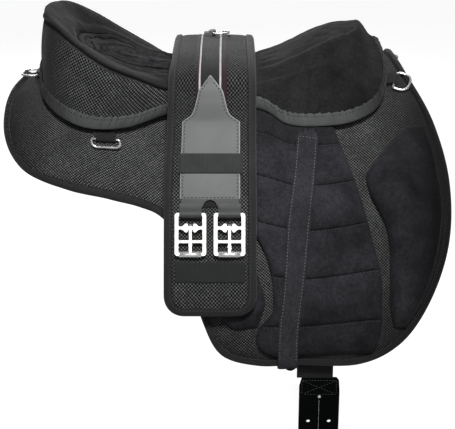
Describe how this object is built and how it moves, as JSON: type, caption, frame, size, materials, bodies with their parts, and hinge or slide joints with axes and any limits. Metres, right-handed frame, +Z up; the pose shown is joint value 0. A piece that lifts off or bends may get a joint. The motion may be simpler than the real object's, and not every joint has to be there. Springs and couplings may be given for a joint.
{
  "type": "all-purpose saddle",
  "caption": "Treeless all-purpose saddle in suede-look cloth and mesh, with quilted flaps, knee rolls, leather billets, D-rings and a padded girth with roller buckles across its seat",
  "frame": {"origin": "on the mid-plane, at the underside of the ridge between the skirts, where a saddle rack carries the saddle", "axes": "+X to the pommel, +Y to the left side of the saddle, +Z up"},
  "size_m": [0.5406, 0.4556, 0.6233],
  "materials": {
    "seat_mesh": "black and grey spacer mesh over foam",
    "suede": "brushed synthetic suede, near black",
    "strap_suede": "brushed synthetic suede, stitched",
    "skirt_mesh": "black and grey spacer mesh",
    "hem_binding": "grey puckered binding",
    "skirt_edge": "dark stitched binding",
    "webbing": "woven webbing",
    "striped_webbing": "woven webbing with stripes",
    "elastic": "dark elastic",
    "girth_leather": "grey smooth leather",
    "billet_leather": "black smooth leather",
    "steel": "bright plated steel",
    "foam": "closed-cell foam in cloth",
    "stiffener": "fibreglass-filled plastic"
  },
  "bodies": {
    "saddle": {"seat_cushion": "seat_mesh", "seat_hem_binding": "hem_binding", "seat_piping": "suede", "pommel_arch": "stiffener", "cantle_arch": "stiffener", "spine_strip": "webbing", "rigging_web": "webbing", "crupper_ring_tab": "webbing", "skirt_left": "skirt_mesh", "skirt_binding_left": "skirt_edge", "quilted_flap_left": "suede", "knee_roll_left": "suede", "thigh_roll_left": "suede", "flap_strap_left": "strap_suede", "panel_left": "foam", "front_ring_tab_left": "webbing", "rear_ring_tab_left": "webbing", "skirt_right": "skirt_mesh", "skirt_binding_right": "skirt_edge", "quilted_flap_right": "suede", "knee_roll_right": "suede", "thigh_roll_right": "suede", "flap_strap_right": "strap_suede", "panel_right": "foam", "front_ring_tab_right": "webbing", "rear_ring_tab_right": "webbing"},
    "girth": {"girth_pad": "seat_mesh", "girth_binding": "skirt_edge", "girth_center_web": "striped_webbing", "girth_ring_tab": "webbing", "girth_leather_left": "girth_leather", "girth_leather_right": "girth_leather", "girth_keeper_left": "elastic", "girth_keeper_right": "elastic", "girth_end_band_left": "elastic", "girth_end_band_right": "elastic"},
    "girth_ring": {"girth_ring": "steel"},
    "crupper_ring": {"crupper_ring": "steel"},
    "rear_ring_left": {"rear_ring_left": "steel"},
    "front_ring_left": {"front_ring_left": "steel"},
    "billets_left": {"billet_hanger_left": "webbing", "billets_left": "billet_leather"},
    "buckle_frame_left_rear": {"buckle_frame_left_rear": "steel"},
    "buckle_tongue_left_rear": {"buckle_tongue_left_rear": "steel"},
    "buckle_roller_left_rear": {"buckle_roller_left_rear": "steel"},
    "buckle_frame_left_front": {"buckle_frame_left_front": "steel"},
    "buckle_tongue_left_front": {"buckle_tongue_left_front": "steel"},
    "buckle_roller_left_front": {"buckle_roller_left_front": "steel"},
    "rear_ring_right": {"rear_ring_right": "steel"},
    "front_ring_right": {"front_ring_right": "steel"},
    "billets_right": {"billet_hanger_right": "webbing", "billets_right": "billet_leather"},
    "buckle_frame_right_rear": {"buckle_frame_right_rear": "steel"},
    "buckle_tongue_right_rear": {"buckle_tongue_right_rear": "steel"},
    "buckle_roller_right_rear": {"buckle_roller_right_rear": "steel"},
    "buckle_frame_right_front": {"buckle_frame_right_front": "steel"},
    "buckle_tongue_right_front": {"buckle_tongue_right_front": "steel"},
    "buckle_roller_right_front": {"buckle_roller_right_front": "steel"}
  },
  "joints": [
    {"name": "girth_lift", "type": "slide", "parent": "saddle", "child": "girth", "axis": [0, 0, 1], "range_m": [0, 0.4]},
    {"name": "crupper_ring_hinge", "type": "hinge", "parent": "saddle", "child": "crupper_ring", "pos_m": [-0.2424, 0, 0.0181], "axis": [0, 1, 0], "range_deg": [0, 90]},
    {"name": "girth_ring_hinge", "type": "hinge", "parent": "girth", "child": "girth_ring", "pos_m": [-0.0185, 0.04805, 0.06062], "axis": [0, -0.9936, 0.1128], "range_deg": [0, 150]},
    {"name": "rear_ring_left_hinge", "type": "hinge", "parent": "saddle", "child": "rear_ring_left", "pos_m": [-0.146, 0.13145, -0.03251], "axis": [0.9317, -0.3304, -0.1512], "range_deg": [0, 110]},
    {"name": "front_ring_left_hinge", "type": "hinge", "parent": "saddle", "child": "front_ring_left", "pos_m": [0.2072, 0.0622, 0.02325], "axis": [0.3377, -0.759, 0.5566], "range_deg": [0, 100]},
    {"name": "billets_left_swing", "type": "hinge", "parent": "saddle", "child": "billets_left", "pos_m": [0.1065, 0.20201, -0.29796], "axis": [1, 0, 0], "range_deg": [-30, 70]},
    {"name": "buckle_frame_left_rear_hinge", "type": "hinge", "parent": "girth", "child": "buckle_frame_left_rear", "pos_m": [-0.04335, 0.18904, -0.10709], "axis": [1, 0, 0], "range_deg": [0, 100]},
    {"name": "buckle_tongue_left_rear_hinge", "type": "hinge", "parent": "buckle_frame_left_rear", "child": "buckle_tongue_left_rear", "pos_m": [-0.04335, 0.19533, -0.12181], "axis": [1, 0, 0], "range_deg": [0, 100]},
    {"name": "buckle_roller_left_rear_hinge", "type": "hinge", "parent": "buckle_frame_left_rear", "child": "buckle_roller_left_rear", "pos_m": [-0.04335, 0.2075, -0.15032], "axis": [1, 0, 0], "continuous": true},
    {"name": "buckle_frame_left_front_hinge", "type": "hinge", "parent": "girth", "child": "buckle_frame_left_front", "pos_m": [0.00235, 0.18904, -0.10709], "axis": [1, 0, 0], "range_deg": [0, 100]},
    {"name": "buckle_tongue_left_front_hinge", "type": "hinge", "parent": "buckle_frame_left_front", "child": "buckle_tongue_left_front", "pos_m": [0.00235, 0.19533, -0.12181], "axis": [1, 0, 0], "range_deg": [0, 100]},
    {"name": "buckle_roller_left_front_hinge", "type": "hinge", "parent": "buckle_frame_left_front", "child": "buckle_roller_left_front", "pos_m": [0.00235, 0.2075, -0.15032], "axis": [1, 0, 0], "continuous": true},
    {"name": "rear_ring_right_hinge", "type": "hinge", "parent": "saddle", "child": "rear_ring_right", "pos_m": [-0.146, -0.13145, -0.03251], "axis": [-0.9317, -0.3304, 0.1512], "range_deg": [0, 110]},
    {"name": "front_ring_right_hinge", "type": "hinge", "parent": "saddle", "child": "front_ring_right", "pos_m": [0.2072, -0.0622, 0.02325], "axis": [-0.3377, -0.759, -0.5566], "range_deg": [0, 100]},
    {"name": "billets_right_swing", "type": "hinge", "parent": "saddle", "child": "billets_right", "pos_m": [0.1065, -0.20201, -0.29796], "axis": [-1, 0, 0], "range_deg": [-30, 70]},
    {"name": "buckle_frame_right_rear_hinge", "type": "hinge", "parent": "girth", "child": "buckle_frame_right_rear", "pos_m": [-0.04335, -0.18904, -0.10709], "axis": [-1, 0, 0], "range_deg": [0, 100]},
    {"name": "buckle_tongue_right_rear_hinge", "type": "hinge", "parent": "buckle_frame_right_rear", "child": "buckle_tongue_right_rear", "pos_m": [-0.04335, -0.19533, -0.12181], "axis": [-1, 0, 0], "range_deg": [0, 100]},
    {"name": "buckle_roller_right_rear_hinge", "type": "hinge", "parent": "buckle_frame_right_rear", "child": "buckle_roller_right_rear", "pos_m": [-0.04335, -0.2075, -0.15032], "axis": [-1, 0, 0], "continuous": true},
    {"name": "buckle_frame_right_front_hinge", "type": "hinge", "parent": "girth", "child": "buckle_frame_right_front", "pos_m": [0.00235, -0.18904, -0.10709], "axis": [-1, 0, 0], "range_deg": [0, 100]},
    {"name": "buckle_tongue_right_front_hinge", "type": "hinge", "parent": "buckle_frame_right_front", "child": "buckle_tongue_right_front", "pos_m": [0.00235, -0.19533, -0.12181], "axis": [-1, 0, 0], "range_deg": [0, 100]},
    {"name": "buckle_roller_right_front_hinge", "type": "hinge", "parent": "buckle_frame_right_front", "child": "buckle_roller_right_front", "pos_m": [0.00235, -0.2075, -0.15032], "axis": [-1, 0, 0], "continuous": true}
  ]
}
